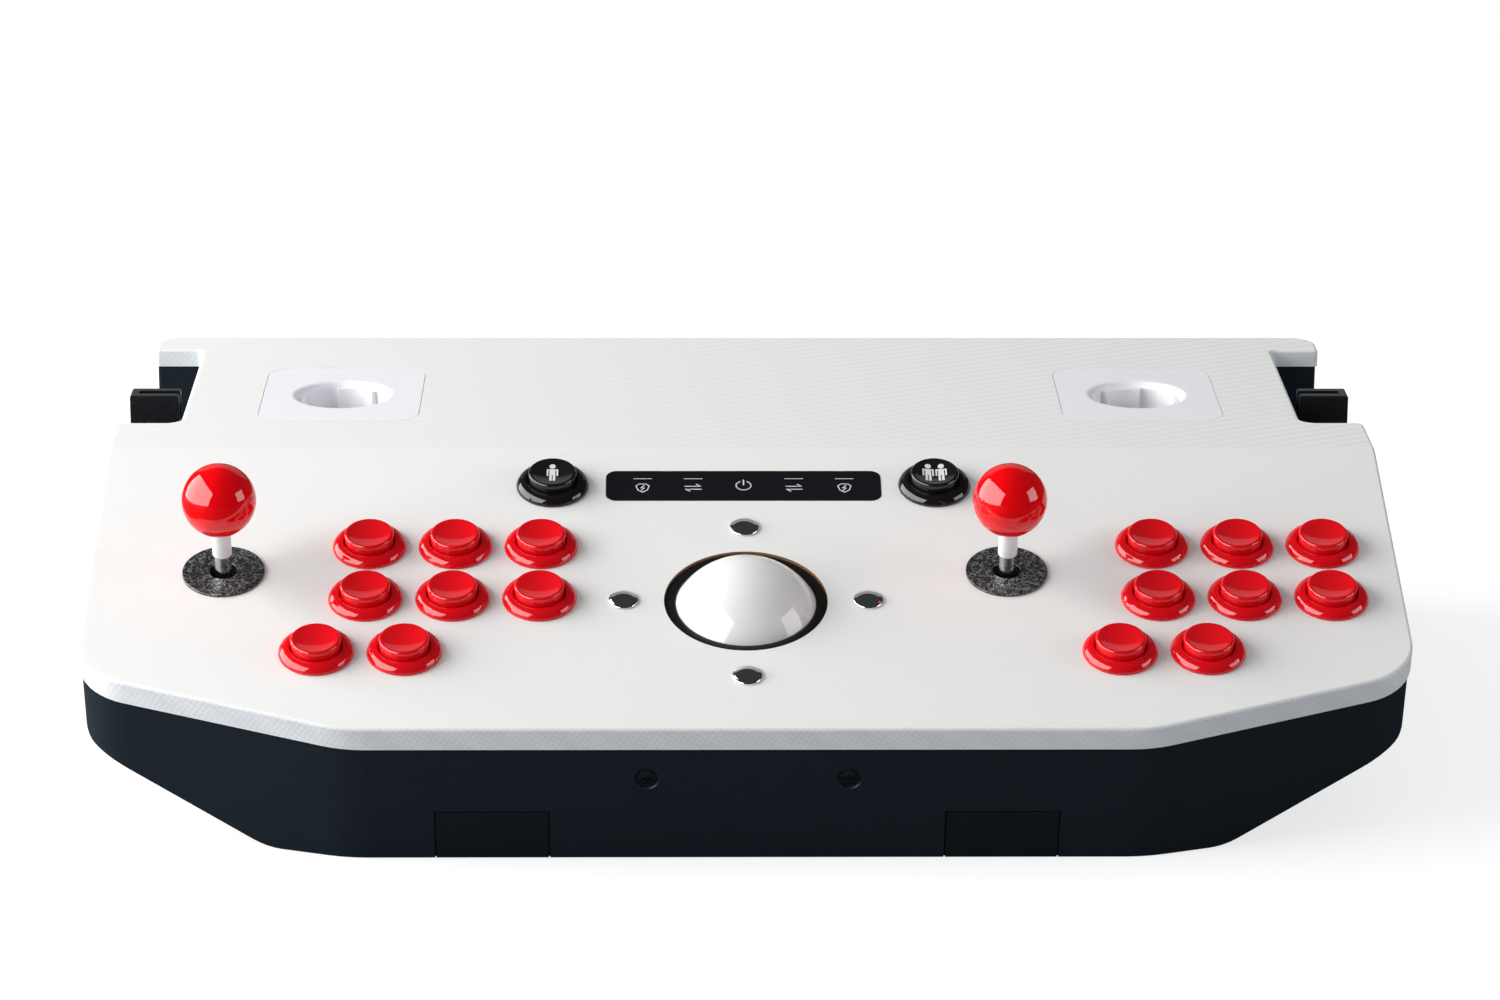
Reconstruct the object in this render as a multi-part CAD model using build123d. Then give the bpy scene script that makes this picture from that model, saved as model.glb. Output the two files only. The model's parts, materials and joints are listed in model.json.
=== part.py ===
"""Two-player arcade control panel: a folded, vinyl-wrapped board on a black housing, with two ball-top
joysticks, sixteen play buttons, two start buttons, a 3 inch trackball, a touch strip, two holder cups and
two slotted side brackets.

Units are millimetres. X runs along the panel, +Y points away from the player and +Z is up. The panel
stands on the plane Z = 0, with the origin under the middle of its outline. The surface behind the crease
is level, and the control surface in front of it slopes down towards the player.
"""

from build123d import *
import os
from math import cos, radians, sin, sqrt, tan

# ---- panel ------------------------------------------------------------------------------------------
HALF_WIDTH = 311.0  # half the overall width
FOLD = 18.7  # slope of the control surface, degrees
FOLD_ROUND = 12.0  # outer radius of the fold
TOP_Z = 143.0  # height of the level rear surface
FRONT_DEPTH = 220.2  # crease to front edge, along the control surface
REAR_DEPTH = 204.6  # crease to back edge
FRONT_THICK = 12.0
REAR_THICK = 9.0
EDGE_ROUND = 1.6  # wrapped top edge of the board
FRONT_CORNER_X = 185.5  # where the straight front edge meets the slanted edge
SLANT_RISE = 42.4  # from the front edge to where the slanted edge meets the side
FRONT_CORNER_R = 60.0
SIDE_CORNER_R = 33.4  # where the slanted edge meets the side
NOTCH = (45.3, 179.0)  # front and back of the side notches, behind the crease
NOTCH_X = 279.7  # inner side of the notches
ARM_X = 305.0  # outer side of the rear arms

# ---- housing ----------------------------------------------------------------------------------------
WALL = 4.0
REVEAL = 1.0  # how far the housing stands in from the panel's edge
FLOOR_X = 223.5  # half width of the flat underside
SIDE_FOOT_Z = 46.5  # lower edge of the side walls
OPENING = (200.0, -140.0, 185.0)  # half width, front and back of the opening in the underside
COVER_RIM = 12.0  # how far the bottom cover laps over the opening's edge
COVER_THICK = 2.0
FRONT_COVER = (118.0, 26.0, -50.0)  # middle, half width and top of the covers in the front wall
FRONT_COVER_GAP = 0.7
FRONT_SCREW = (46.5, -30.0)  # place of a screw in the front wall, across and below the control surface
FRONT_RECESS = (5.5, 1.6, 0.5)  # radius, depth and chamfer of the recess round it

# ---- controls, in the control surface's own frame with its origin at the trackball -------------------
CREASE_V = 123.2  # crease behind the trackball
PITCH = 40.9  # button spacing
FIRST_BUTTON = (-179.0, 41.9)
STICK = (-247.2, 22.0)
PLAYER_STEP = 373.5  # from a button of player 1 to the same one of player 2
STICK_STEP = 371.3
START_BUTTON = (92.7, 91.6)
STRIP = (66.6, 79.9, 104.1)  # half width, front and back of the touch strip

BEZEL_R = 17.6
BARREL_R = 14.7
BORE_R = 12.2
PLUNGER_R = 11.7
PLUNGER_TOP = 9.0
BARREL_END = -28.0

STICK_TILT = 8.0  # joystick throw each way, degrees
PIVOT_Z = -9.0  # joystick pivot below the control surface
PIVOT_R = 7.0
SHAFT_R = 4.0
BALL_TOP_R = 17.5
BALL_TOP_Z = 42.4

TRACKBALL_R = 38.1
TRACKBALL_Z = -20.6  # centre below the control surface
ROLLER_R = 6.0
ROLLER_DIP = 10.0  # contact below the ball's equator, degrees
BOLT_CIRCLE_R = 57.7

CUP = (202.0, 95.9)  # holder centre, behind the crease
CUP_PLATE = (80.3, 96.6)
CUP_R = 22.5
CUP_PAD = 3.0  # how far a pad stands in from the cup's wall
PAD_HALF_ANGLE = 27.5  # half the turn a pad takes up
CUP_DEPTH = 60.0
BRACKET = (92.0, 107.0)  # front and back of a side bracket, behind the crease
BRACKET_X = (285.0, 309.7)

SCREW_R = 1.9  # shank of the pan-head screws
GAP = 0.3  # clearance around inset pieces
FAR = 400.0  # reaches past the whole panel

FRONT_RUN = FRONT_DEPTH * cos(radians(FOLD))
CREASE_Y = (FRONT_RUN - REAR_DEPTH) / 2
SLOPE_Y = cos(radians(FOLD))
SLOPE_Z = sin(radians(FOLD))
FRONT_V = CREASE_V - FRONT_DEPTH
DECK = Location((0, CREASE_Y - CREASE_V * SLOPE_Y, TOP_Z - CREASE_V * SLOPE_Z), (FOLD, 0, 0))
REAR = Location((0, CREASE_Y, TOP_Z))


# ---- helpers ------------------------------------------------------------------------------------------
def rod(radius, low, high, x=0.0, y=0.0):
    """Upright round bar between two heights."""
    return Pos(x, y, (low + high) / 2) * Cylinder(radius, high - low)


def tube(outer, inner, low, high, x=0.0, y=0.0):
    """Upright tube between two heights."""
    return rod(outer, low, high, x, y) - rod(inner, low - 1, high + 1, x, y)


def block(x, y, z):
    """Box between two values on each axis."""
    centre = Pos((x[0] + x[1]) / 2, (y[0] + y[1]) / 2, (z[0] + z[1]) / 2)
    return centre * Box(x[1] - x[0], y[1] - y[0], z[1] - z[0])


def turned(*edges):
    """Solid of revolution about the Z axis, from edges drawn in the XZ plane as (radius, height)."""
    return revolve(make_face([Plane.XZ * edge for edge in edges]), Axis.Z)


def path(*points):
    """Straight edges through (radius, height) points."""
    return [Line(a, b) for a, b in zip(points, points[1:])]


def inset(corners, distance):
    """Moves every side of an outline inwards. Corners are (x, y, radius), anticlockwise."""
    moved = []
    for before, here, after in zip(corners[-1:] + corners[:-1], corners, corners[1:] + corners[:1]):
        a = (Vector(here[0], here[1]) - Vector(before[0], before[1])).normalized()
        b = (Vector(after[0], after[1]) - Vector(here[0], here[1])).normalized()
        turn = a.X * b.Y - a.Y * b.X
        along = (1 - a.dot(b)) / turn
        shift = Vector(-a.Y, a.X) * distance - a * (along * distance)
        radius = max(here[2] - distance, 0.5) if turn > 0 else here[2] + distance
        moved.append((here[0] + shift.X, here[1] + shift.Y, radius if here[2] else 0.0))
    return moved


def outline(corners):
    """Face from (x, y, radius) corners; a radius of 0 leaves a sharp corner."""
    face = make_face(Polyline(*[(x, y) for x, y, _ in corners], close=True))
    for x, y, radius in corners:
        if radius:
            face = fillet(face.vertices().sort_by_distance((x, y, 0))[0], radius)
    return face


def both_sides(right):
    """An outline with its left half added, from the right half's corners, front to back."""
    return right + [(-x, y, radius) for x, y, radius in reversed(right)]


def mirrored(shape):
    """The same piece on the other side of the panel."""
    return mirror(shape, Plane.YZ)


def save(node, *pieces):
    """Writes one node, with each of its pieces as a separate solid."""
    solids = [solid for piece in pieces for solid in piece.solids()]
    whole = solids[0] if len(solids) == 1 else Compound(children=solids)
    whole.label = node
    export_step(whole, f"parts/{node}.step")


# ---- places -------------------------------------------------------------------------------------------
def play_buttons():
    """(node, x, y) of the play buttons, left to right and back to front."""
    rows = [(0.0, 0.0, 3), (0.0, -PITCH, 3), (-20.9, -82.0, 2)]
    places = []
    for player in (1, 2):
        number = 0
        for shift, down, count in rows:
            for column in range(count):
                number += 1
                x = FIRST_BUTTON[0] + (player - 1) * PLAYER_STEP + shift + column * PITCH
                places.append((f"button_p{player}_{number}", x, FIRST_BUTTON[1] + down))
    return places


def start_buttons():
    """(node, x, y) of the two start buttons."""
    x, y = START_BUTTON
    return [("start_button_p1", -x, y), ("start_button_p2", x, y)]


def sticks():
    """(side, x, y) of the two joysticks."""
    return [("left", STICK[0], STICK[1]), ("right", STICK[0] + STICK_STEP, STICK[1])]


def trackball_bolts():
    """(x, y) of the bolts around the trackball."""
    return [(BOLT_CIRCLE_R * cos(radians(a)), BOLT_CIRCLE_R * sin(radians(a))) for a in (0, 90, 180, 270)]


def cover_screws():
    """(x, y) of the bottom cover's screws."""
    half, front, back = OPENING
    middle = COVER_RIM / 2
    ys = (front - middle, (front + back) / 2, back + middle)
    rows = [(side * (half + middle), y) for side in (-1, 1) for y in ys]
    return rows + [(0.0, ys[0]), (0.0, ys[2])]


# ---- outer form ---------------------------------------------------------------------------------------
def form(distance):
    """The panel's outline carried straight down, moved inwards by a distance on every side."""
    lap = 40.0
    front = both_sides(
        [
            (FRONT_CORNER_X, FRONT_V, FRONT_CORNER_R),
            (HALF_WIDTH, FRONT_V + SLANT_RISE, SIDE_CORNER_R),
            (HALF_WIDTH, CREASE_V + lap, 0.0),
        ]
    )
    rear = both_sides(
        [
            (HALF_WIDTH, -lap, 0.0),
            (HALF_WIDTH, NOTCH[0], 4.0),
            (NOTCH_X, NOTCH[0], 8.0),
            (NOTCH_X, NOTCH[1], 4.0),
            (ARM_X, NOTCH[1], 2.0),
            (ARM_X, REAR_DEPTH, 13.0),
        ]
    )
    sloped = DECK * Pos(0, 0, -FAR / 2) * extrude(outline(inset(front, distance)), FAR)
    sloped &= block((-FAR, FAR), (-FAR, CREASE_Y + lap / 2), (-FAR, FAR))
    upright = REAR * Pos(0, 0, -FAR / 2) * extrude(outline(inset(rear, distance)), FAR)
    return sloped + upright


def board_profile():
    """Corners of the board's upper and lower side in the YZ plane, front to back."""
    def surface(depth_front, depth_rear):
        front = (
            CREASE_Y + depth_front * SLOPE_Z - FAR * SLOPE_Y,
            TOP_Z - depth_front * SLOPE_Y - FAR * SLOPE_Z,
        )
        along = (depth_rear - depth_front * SLOPE_Y) / SLOPE_Z
        bend = (CREASE_Y + depth_front * SLOPE_Z - along * SLOPE_Y, TOP_Z - depth_rear)
        return [front, bend, (FAR, TOP_Z - depth_rear)]

    return surface(0.0, 0.0), surface(FRONT_THICK, REAR_THICK)


def side_profile(corners):
    """Solid with a YZ section, running right across the panel."""
    return extrude(Plane.YZ * outline(corners), FAR, both=True)


def hull(distance):
    """The housing's section across the panel: a flat underside with raised sides."""
    half = HALF_WIDTH - REVEAL
    right = [(FLOOR_X, 0.0, 30.0), (half, SIDE_FOOT_Z, 10.0), (half, FAR, 0.0)]
    return extrude(Plane.XZ * outline(inset(both_sides(right), distance)), FAR, both=True)


# ---- panel and housing --------------------------------------------------------------------------------
def make_panel():
    """The folded board, with every cut-out for its controls."""
    upper, lower = board_profile()
    front, bend, back = upper
    section = [(*front, 0.0), (*bend, FOLD_ROUND), (*back, 0.0)]
    section += [(y, z, 0.0) for y, z in reversed(lower)]
    board = side_profile(section) & form(0.0)

    def on_rim(edge):
        centre = edge @ 0.5
        slope = TOP_Z + min(centre.Y - CREASE_Y, 0.0) * tan(radians(FOLD))
        across = abs((edge @ 1 - edge @ 0).normalized().X) > 0.999
        near_fold = abs(centre.Y - CREASE_Y) < FOLD_ROUND
        return abs(centre.Z - slope) < 0.5 and not (across and near_fold)

    board = fillet(board.edges().filter_by(on_rim), EDGE_ROUND)
    cuts = [rod(15.0, -FAR, FAR, x, y) for _, x, y in play_buttons() + start_buttons()]
    for _, x, y in sticks():
        cuts += [rod(15.0, -FAR, FAR, x, y)]
        cuts += [rod(SCREW_R + 0.03, -FAR, -4.0, x + dx, y + dy) for dx, dy in stick_screws()]
    cuts += [rod(3.3, -FAR, FAR, x, y) for x, y in trackball_bolts()]
    cuts += [rod(TRACKBALL_R + 0.4, -FAR, FAR), rod(44.4, -FAR, -6.7)]
    half, strip_front, strip_back = STRIP
    pocket = outline(strip_corners(half + GAP, strip_front - GAP, strip_back + GAP, 5.3))
    cuts += [Pos(0, 0, -1) * extrude(pocket, FAR)]
    cuts += [block((-60.0, 60.0), (strip_front + 4, strip_back - 4), (-FAR, 0))]
    for cut in cuts:
        board -= DECK * cut
    for side in (-1, 1):
        seat = Pos(side * CUP[0], CUP[1], 0) * plate(CUP_PLATE[0] + 2 * GAP, CUP_PLATE[1] + 2 * GAP, 14.3)
        board -= REAR * Pos(0, 0, -4) * extrude(seat, FAR)
        board -= REAR * rod(CUP_R + 6.0, -FAR, FAR, side * CUP[0], CUP[1])
    return board


def strip_corners(half, front, back, radius):
    """Corners of the touch strip or its pocket."""
    return both_sides([(half, front, radius), (half, back, radius)])


def plate(width, depth, radius):
    """Rounded rectangular face about the origin."""
    return RectangleRounded(width, depth, radius)


def make_housing():
    """The black shell under the board, open where the bottom cover fits."""
    _, lower = board_profile()
    above = side_profile([(y, z, 0.0) for y, z in lower] + [(FAR, FAR, 0.0), (-FAR, FAR, 0.0)])
    outside = (form(REVEAL) & hull(0.0)) - above
    inside = form(REVEAL + WALL) & hull(WALL)
    shell = outside - inside
    half, front, back = OPENING
    shell -= block((-half, half), (front, back), (-1, WALL + 1))
    rim = COVER_RIM
    shell -= block((-half - rim, half + rim), (front - rim, back + rim), (-1, COVER_THICK))
    for x, y in cover_screws():
        shell += rod(5.0, COVER_THICK, 16.0, x, y)
        shell -= rod(2.0, 0.0, 14.0, x, y)
    for side in (-1, 1):
        shell -= DECK * front_cover_block(side, FRONT_COVER_GAP, 1.6)
        shell -= DECK * front_screw_place(side) * front_recess()
        shell -= DECK * front_screw_place(side) * rod(2.05, -FAR / 4, 0.0)
        for w in bracket_screw_ws():
            hole = Rot(0, 90, 0) * rod(2.2, -10, 10)
            shell -= REAR * Pos(side * (NOTCH_X - REVEAL - WALL / 2), w, -22.0) * hole
    return shell


def front_cover_block(side, gap, depth):
    """Space of a cover in the front wall, grown by a gap, in the control surface's frame."""
    wall = FRONT_V + REVEAL
    floor = -(TOP_Z - (CREASE_V - wall) * SLOPE_Z) / SLOPE_Y
    middle = side * FRONT_COVER[0]
    half = FRONT_COVER[1] + gap
    mouth = wall - (1 if gap else 0)
    return block((middle - half, middle + half), (mouth, wall + depth), (floor - 20, FRONT_COVER[2] + gap))


def front_screw_place(side):
    """Mouth of a screw recess in the front wall, with Z pointing out of the wall."""
    across, below = FRONT_SCREW
    return Pos(side * across, FRONT_V + REVEAL, below) * Rot(90, 0, 0)


def front_recess():
    """Round recess with a chamfered mouth on Z = 0."""
    radius, depth, slope = FRONT_RECESS
    wide = radius + 2 * slope
    wall = path((0, -depth), (radius, -depth), (radius, -slope), (wide, slope))
    return turned(*wall, *path((wide, slope), (wide, 10.0), (0, 10.0), (0, -depth)))


def bracket_screw_ws():
    """Places of a bracket's two screws, behind the crease."""
    return (BRACKET[0] + 3.5, BRACKET[1] - 3.5)


def make_bottom_cover():
    """Plate that closes the underside, with posts for the controller board."""
    half, front, back = OPENING
    rim = COVER_RIM - GAP
    cover = block((-half - rim, half + rim), (front - rim, back + rim), (0, COVER_THICK))
    lip = 4.0
    cover += block((-half + GAP, half - GAP), (front + GAP, back - GAP), (COVER_THICK, lip))
    cover -= block((-half + 6, half - 6), (front + 6, back - 6), (COVER_THICK, lip + 1))
    for x, y in cover_screws():
        cover -= rod(2.2, -1, COVER_THICK + 1, x, y)
        cover -= rod(4.1, -1, 1.2, x, y)
    for x, y in board_posts():
        cover += rod(4.0, COVER_THICK - 0.5, 10.0, x, y)
    return cover


def board_posts():
    """(x, y) of the posts under the controller board."""
    return [(x, y) for x in (-45.0, 45.0) for y in (90.0, 140.0)]


def make_controller():
    """Controller board with its chip and a row of plug headers."""
    board = block((-52.0, 52.0), (83.0, 147.0), (10.0, 11.6))
    board += block((-9.0, 9.0), (106.0, 124.0), (11.0, 13.2))
    for step in range(6):
        x = -42.0 + 15.0 * step
        board += block((x, x + 10.0), (86.0, 93.0), (11.0, 18.0))
    return board


def domed_head(radius, edge, height):
    """Screw head with a low dome, standing on Z = 0."""
    drop = height - edge
    sphere_r = (radius**2 + drop**2) / (2 * drop)
    middle = (radius / 2, height - sphere_r + sqrt(sphere_r**2 - radius**2 / 4))
    return turned(
        *path((0, height), (0, 0), (radius, 0), (radius, edge)),
        ThreePointArc((radius, edge), middle, (0, height)),
    )


def make_screw():
    """Pan-head machine screw with a cross recess; its head sits on Z = 0 and its shank runs down."""
    head = domed_head(4.0, 0.5, 1.2)
    shank = rod(SCREW_R, -9.0, 0.0)
    recess = block((-2.2, 2.2), (-0.4, 0.4), (0.3, 3)) + block((-0.4, 0.4), (-2.2, 2.2), (0.3, 3))
    return head + shank - recess


def make_front_cover(side):
    """Small inset cover in the lower front wall, cut off level with the underside."""
    cover = DECK * front_cover_block(side, 0.0, 1.5)
    return cover & block((-FAR, FAR), (-FAR, FAR), (0.0, FAR))


def make_bracket(side):
    """Slotted block in the side notch, level with the panel's surface, on a lower arm that meets the wall."""
    wall = NOTCH_X - REVEAL
    inner, outer = BRACKET_X
    body = block(BRACKET_X, BRACKET, (-32.0, 0.0))
    body = chamfer(body.edges().group_by(Axis.Z)[-1], 0.8)
    body += block((wall, inner), BRACKET, (-32.0, -16.0))
    body -= block((inner - 1.0, outer - 4.0), (BRACKET[0] + 5.0, BRACKET[0] + 10.0), (-16.0, 1.0))
    for w in bracket_screw_ws():
        body -= Pos(wall, w, -22.0) * Rot(0, 90, 0) * rod(1.95, -1, 12)
    body = REAR * body
    return body if side > 0 else mirrored(body)


def make_holder():
    """White insert: a flush plate with a deep cup whose wall carries three broad pads."""
    width, depth = CUP_PLATE
    top = extrude(plate(width, depth, 14.0), -4.0)
    body = top + rod(CUP_R + 5.0, -CUP_DEPTH, -3.5)
    body -= rod(CUP_R, -CUP_DEPTH + 3.0, 1.0)
    rim = body.edges().filter_by(GeomType.CIRCLE).filter_by(lambda e: abs(e.radius - CUP_R) < 0.01)
    body = fillet(rim.group_by(Axis.Z)[-1], 3.5)
    pad = tube(CUP_R + 1.0, CUP_R - CUP_PAD, -CUP_DEPTH + 2.0, -3.0)
    reach = 2 * CUP_R
    half = reach * tan(radians(PAD_HALF_ANGLE))
    sector = make_face(Polyline((0, 0), (-half, reach), (half, reach), close=True))
    wedge = Pos(0, 0, -CUP_DEPTH) * extrude(sector, CUP_DEPTH)
    for angle in (17.5, 137.5, 257.5):
        body += pad & (Rot(0, 0, angle) * wedge)
    return body


# ---- buttons ------------------------------------------------------------------------------------------
def make_bezel():
    """Round-topped bezel with its threaded barrel, open for the plunger."""
    profile = [
        *path((BORE_R, -3.0), (BORE_R, 3.7)),
        ThreePointArc((BORE_R, 3.7), (BORE_R + 0.3, 4.3), (BORE_R + 0.9, 4.5)),
        ThreePointArc((BORE_R + 0.9, 4.5), (BEZEL_R - 1.6, 3.5), (BEZEL_R, 0.8)),
        *path((BEZEL_R, 0.8), (BEZEL_R - 0.3, 0.0), (BARREL_R, 0.0), (BARREL_R, BARREL_END)),
        *path((BARREL_R, BARREL_END), (4.2, BARREL_END), (4.2, BARREL_END + 2.0), (13.1, BARREL_END + 2.0)),
        *path((13.1, BARREL_END + 2.0), (13.1, -3.0), (BORE_R, -3.0)),
    ]
    return turned(*profile)


def make_plunger():
    """Dished button cap with a retaining lip and the stem that works the switch."""
    rim = PLUNGER_TOP
    profile = [
        ThreePointArc((0.0, rim - 1.7), (6.0, rim - 1.15), (PLUNGER_R - 1.3, rim - 0.05)),
        ThreePointArc((PLUNGER_R - 1.3, rim - 0.05), (PLUNGER_R - 0.3, rim - 0.25), (PLUNGER_R, rim - 1.2)),
        *path((PLUNGER_R, rim - 1.2), (PLUNGER_R, -3.4), (12.8, -3.4), (12.8, -6.0), (9.9, -6.0), (9.9, 5.0)),
        *path((9.9, 5.0), (3.2, 5.0), (3.2, BARREL_END + 4.0), (0.0, BARREL_END + 4.0), (0.0, rim - 1.7)),
    ]
    return turned(*profile)


def make_nut():
    """Hexagonal nut that clamps a barrel under the board."""
    hexagon = extrude(RegularPolygon(17.0, 6, major_radius=False, rotation=30), 7.0)
    return Pos(0, 0, -FRONT_THICK - 7.0) * hexagon - rod(BARREL_R + 0.05, -30, 0)


def make_button_switch():
    """Microswitch clipped under a barrel, with its two tags."""
    body = block((-14.0, 14.0), (-5.2, 5.2), (BARREL_END - 16.0, BARREL_END))
    for x in (-9.0, 7.0):
        body += block((x, x + 2.8), (-3.0, 3.0), (BARREL_END - 22.0, BARREL_END - 15.0))
    return body


def make_button_spring():
    """Coil spring between the barrel's floor and the plunger."""
    low = BARREL_END + 2.0
    return make_spring(6.5, 0.5, low + 0.7, 4.3, 5.0)


def make_spring(radius, wire, low, high, turns):
    """Open coil spring about the Z axis, between the centres of its first and last turn."""
    coil = Helix((high - low) / turns, high - low, radius)
    section = Plane(origin=coil @ 0, z_dir=coil % 0) * Circle(wire)
    return Pos(0, 0, low) * sweep(section, path=coil, is_frenet=True)


# ---- joysticks, about their own axis at the control surface -------------------------------------------
def make_dust_washer():
    """Grained disc around the shaft."""
    return tube(19.45, 6.5, 0.0, 1.2)


def make_ball_top():
    """Ball knob with a small flat underneath, screwed onto the shaft."""
    ball = Pos(0, 0, BALL_TOP_Z) * Sphere(BALL_TOP_R)
    ball -= rod(12.0, BALL_TOP_Z - 25.0, BALL_TOP_Z - BALL_TOP_R + 0.6)
    return ball - rod(SHAFT_R, 0.0, 38.0)


def make_shaft():
    """Steel shaft from the ball knob down through the pivot, with a groove for its clip."""
    shaft = rod(SHAFT_R, -48.0, 38.0)
    return shaft - tube(SHAFT_R + 1, SHAFT_R - 0.6, -47.2, -46.4)


def make_shaft_cover():
    """White sleeve over the upper shaft."""
    return tube(4.6, SHAFT_R + 0.03, 11.3, BALL_TOP_Z - BALL_TOP_R + 0.6)


def make_pivot():
    """Pivot ball, slotted so that the shaft can swing sideways in it."""
    ball = Pos(0, 0, PIVOT_Z) * Sphere(PIVOT_R)
    ball &= block((-10, 10), (-10, 10), (PIVOT_Z - 5.0, PIVOT_Z + 5.0))
    slot = 4.0 + 5.0 * tan(radians(STICK_TILT)) + 0.35
    return ball - block((-slot, slot), (-SHAFT_R - 0.08, SHAFT_R + 0.08), (PIVOT_Z - 9, PIVOT_Z + 9))


def make_actuator():
    """Plastic collar at the shaft's lower end that presses the switches."""
    return tube(8.0, SHAFT_R + 0.03, -46.0, -30.0)


def make_stick_spring():
    """Centring spring between the housing's socket and the actuator."""
    return make_spring(6.2, 0.6, -29.2, -22.5, 3.0)


def make_stick_plate():
    """Steel mounting plate under the board."""
    sheet = Pos(0, 0, -FRONT_THICK - 2.0) * extrude(plate(54.0, 88.0, 5.0), 2.0)
    sheet -= rod(13.7, -30, 0)
    for x, y in stick_screws():
        sheet -= rod(2.2, -30, 0, x, y)
    return sheet


def stick_screws():
    """(x, y) of the mounting plate's screws, about the stick."""
    return [(x, y) for x in (-21.0, 21.0) for y in (-38.0, 38.0)]


def make_stick_housing():
    """Housing with a neck that rises into the board and holds the pivot ball's socket."""
    top = -FRONT_THICK - 2.0
    body = block((-26.0, 26.0), (-26.0, 26.0), (-50.0, top))
    body += rod(13.4, top - 1, -2.0)
    body -= block((-24.0, 24.0), (-24.0, 24.0), (-51.0, top - 5.0))
    body -= Pos(0, 0, PIVOT_Z) * Sphere(PIVOT_R + 0.3)
    mouth = path((0, -1), (6.6, -1), (6.0, PIVOT_Z + 2), (6.0, PIVOT_Z - 2), (9.5, -21), (0, -21), (0, -1))
    return body - turned(*mouth)


def make_stick_switches():
    """Four microswitches around the actuator."""
    switch = block((-10.0, 10.0), (14.2, 24.0), (-44.0, -30.0))
    return [Rot(0, 0, quarter * 90) * switch for quarter in range(4)]


# ---- trackball ----------------------------------------------------------------------------------------
def make_collar():
    """Black ring that keeps the ball in, with a flange under the board."""
    ring = rod(TRACKBALL_R, -8.0, -1.0) + rod(44.0, -FRONT_THICK, -7.0)
    return ring - Pos(0, 0, TRACKBALL_Z) * Sphere(TRACKBALL_R + 0.4)


def roller_location(angle):
    """Centre of a roller beside the ball at an angle, with Z along the roller's axis."""
    reach = TRACKBALL_R + ROLLER_R + 0.3
    out = reach * cos(radians(ROLLER_DIP))
    z = TRACKBALL_Z - reach * sin(radians(ROLLER_DIP))
    return Rot(0, 0, angle) * Pos(out, 0, z) * Rot(90, 0, 0)


def make_roller(angle):
    """Roller with its axle and slotted disc."""
    body = rod(ROLLER_R, -19.0, 19.0) + rod(2.5, -29.0, 31.0) + rod(11.0, 23.5, 25.0)
    return roller_location(angle) * body


def make_idler(angle):
    """Short third roller that only carries the ball."""
    return roller_location(angle) * (rod(ROLLER_R, -8.0, 8.0) + rod(2.5, -13.0, 13.0))


def make_trackball_housing():
    """Round cradle under the board with pockets for the rollers and their discs."""
    body = rod(64.5, -64.0, -FRONT_THICK)
    body -= Pos(0, 0, TRACKBALL_Z) * Sphere(TRACKBALL_R + 1.6)
    body -= rod(14.0, -70.0, -40.0)
    body -= rod(TRACKBALL_R - 0.4, -20.0, 0.0)
    for angle in (180, 270):
        pocket = block((-ROLLER_R - 1, ROLLER_R + 1), (-ROLLER_R - 1, ROLLER_R + 1), (-20.0, 20.0))
        disc = block((-12.0, 12.0), (-11.8, 11.8), (22.5, 26.0))
        window = block((-12.0, 12.0), (-40.0, -11.0), (18.0, 31.0))
        place = roller_location(angle)
        body -= place * (pocket + rod(2.58, -29.5, 31.5) + disc)
        body -= place * window
    spot = block((-ROLLER_R - 1, ROLLER_R + 1), (-ROLLER_R - 1, ROLLER_R + 1), (-9.0, 9.0))
    body -= roller_location(45) * (spot + rod(2.58, -13.5, 13.5))
    for x, y in trackball_bolts():
        body -= rod(3.02, -32.0, 0.0, x, y)
    return body


def make_sensor_board(angle):
    """Small board with a light gate below a roller's disc."""
    board = block((-12.0, 12.0), (-16.6, -15.0), (18.0, 31.0))
    for x in (20.0, 27.0):
        board += block((-4.0, 4.0), (-15.2, -12.5), (x, x + 2.0))
    return roller_location(angle) * board


def make_trackball_bolt():
    """Dome-headed bolt."""
    return domed_head(7.1, 0.5, 3.2) + rod(3.0, -30.0, 0.5)


# ---- assembly -----------------------------------------------------------------------------------------
def placed(shape, x, y):
    """A control's piece moved to its place on the control surface."""
    return DECK * Pos(x, y, 0) * shape


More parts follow.
